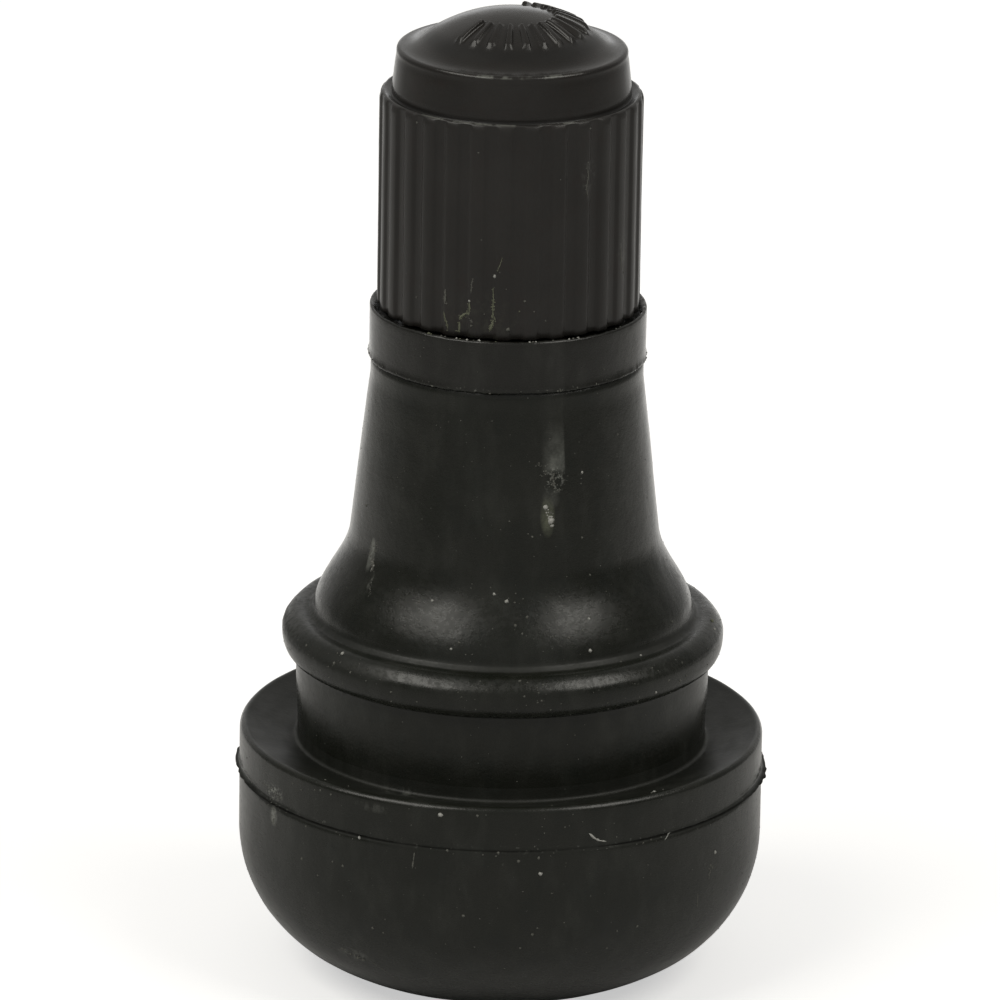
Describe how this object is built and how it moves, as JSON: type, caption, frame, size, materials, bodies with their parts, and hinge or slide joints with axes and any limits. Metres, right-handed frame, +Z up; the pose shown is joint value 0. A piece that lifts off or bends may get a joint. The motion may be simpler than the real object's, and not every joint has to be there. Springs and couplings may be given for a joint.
{
  "type": "tyre valve",
  "caption": "Short snap-in rubber tyre valve with a bowl-shaped base, rim groove, flared neck and a ribbed screw-on dust cap over its brass stem and valve core.",
  "frame": {"origin": "centre of the base's flat foot, on the valve's axis", "axes": "+Z up along the valve's axis from the rubber base to the dust cap; -Y faces the camera of the picture"},
  "size_m": [0.0196, 0.0196, 0.0362],
  "materials": {
    "rubber": "dull dark greenish-black rubber with dust",
    "seal_rubber": "dull black rubber",
    "plastic": "satin black plastic with dust",
    "brass": "turned brass",
    "gasket": "red seal ring",
    "spring_steel": "bright spring wire"
  },
  "bodies": {
    "valve_body": {"rubber_body": "rubber", "brass_stem": "brass"},
    "cap_seal_ring": {"cap_seal": "seal_rubber"},
    "cap": {"dust_cap": "plastic"},
    "core": {"core_barrel": "brass", "barrel_gasket": "gasket", "core_spring": "spring_steel"},
    "plug": {"core_plug": "brass"},
    "pin": {"core_pin": "brass", "plunger_cup": "brass", "plunger_seal": "seal_rubber"}
  },
  "joints": [
    {"name": "cap_lift", "type": "slide", "parent": "valve_body", "child": "cap_seal_ring", "axis": [0, 0, 1], "range_m": [0, 0.00556]},
    {"name": "cap_turn", "type": "hinge", "parent": "cap_seal_ring", "child": "cap", "pos_m": [0, 0, 0.0253], "axis": [0, 0, 1], "range_deg": [0, 2520]},
    {"name": "core_lift", "type": "slide", "parent": "valve_body", "child": "core", "axis": [0, 0, 1], "range_m": [0, 0.00141]},
    {"name": "plug_turn", "type": "hinge", "parent": "core", "child": "plug", "pos_m": [0, 0, 0.0278], "axis": [0, 0, 1], "range_deg": [0, 720]},
    {"name": "pin_press", "type": "slide", "parent": "core", "child": "pin", "axis": [0, 0, -1], "range_m": [0, 0.0014], "stiffness_N_per_m": 800, "springref_m": -0.002, "deforming": ["core_spring"]}
  ],
  "couplings": [
    {"joint": "cap_turn", "follows": "cap_lift", "rad_per_m": 7915.8},
    {"joint": "plug_turn", "follows": "core_lift", "rad_per_m": 8905.3}
  ]
}
